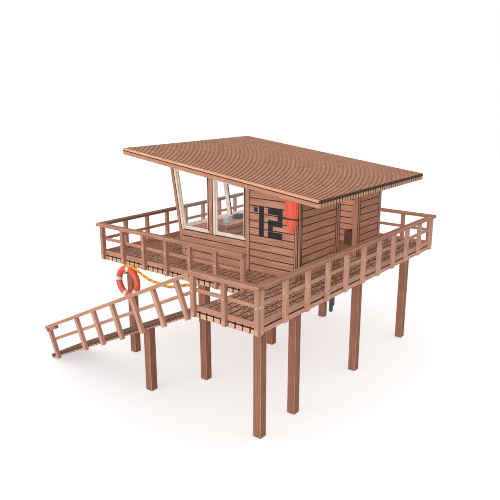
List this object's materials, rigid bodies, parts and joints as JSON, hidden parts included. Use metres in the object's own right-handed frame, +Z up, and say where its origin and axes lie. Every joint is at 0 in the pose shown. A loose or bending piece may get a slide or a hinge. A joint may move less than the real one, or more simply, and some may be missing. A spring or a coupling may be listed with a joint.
{
  "type": "beach lifeguard tower",
  "caption": "Timber beach lifeguard tower: a railed platform on piles, a ramp, and a watch hut with leaning glass and a sloping roof",
  "frame": {"origin": "middle of the footprint, at the level of the sand", "axes": "+X away from the sea, +Y along the beach away from the ramp, +Z up"},
  "size_m": [8.8126, 10.306, 6.7367],
  "materials": {
    "deck_timber": "weathered brown timber, oiled",
    "pile_timber": "rough sawn timber piles",
    "rail_timber": "planed timber, light brown",
    "wall_timber": "horizontal timber cladding",
    "roof_timber": "timber roof boards",
    "frame_paint": "cream painted window frames",
    "window_glass": "clear glass",
    "ring_foam": "orange-red moulded foam shell",
    "board_shell": "orange-red moulded rescue board",
    "rope_fibre": "yellow-orange laid rope",
    "strap_web": "dark webbing",
    "dark_iron": "dark grey galvanised iron",
    "radio_case": "black radio case",
    "box_paint": "grey-green painted box",
    "desk_top": "varnished timber desk",
    "locker_paint": "dark stained locker"
  },
  "bodies": {
    "root": {"main_piles": "pile_timber", "ramp_pile": "pile_timber", "deck_beams": "pile_timber", "main_deck": "deck_timber", "landing_deck": "deck_timber", "ramp_deck": "deck_timber", "ramp_beams": "pile_timber", "front_railing": "rail_timber", "sea_railing": "rail_timber", "back_railing": "rail_timber", "side_railing": "rail_timber", "landing_railing": "rail_timber", "ramp_railing": "rail_timber", "hut_floor": "deck_timber", "corner_posts": "rail_timber", "front_wall": "wall_timber", "front_apron": "wall_timber", "front_window_posts": "rail_timber", "front_window_frames": "frame_paint", "front_glass": "window_glass", "back_wall": "wall_timber", "back_apron": "wall_timber", "back_window_posts": "rail_timber", "back_window_frames": "frame_paint", "back_glass": "window_glass", "sea_apron": "wall_timber", "sea_window_frame": "frame_paint", "sea_glass": "window_glass", "side_wall_left": "wall_timber", "side_wall_right": "wall_timber", "side_wall_over_door": "wall_timber", "door_frame": "rail_timber", "roof_bearers": "pile_timber", "roof_planks": "roof_timber", "roof_cover": "roof_timber", "watch_desk": "desk_top", "desk_radio": "radio_case", "desk_box": "box_paint", "locker": "locker_paint", "life_ring": "ring_foam", "ring_peg": "dark_iron", "ring_rope": "rope_fibre", "rescue_board": "board_shell", "board_strap": "strap_web", "iron_hook": "dark_iron"}
  },
  "joints": []
}
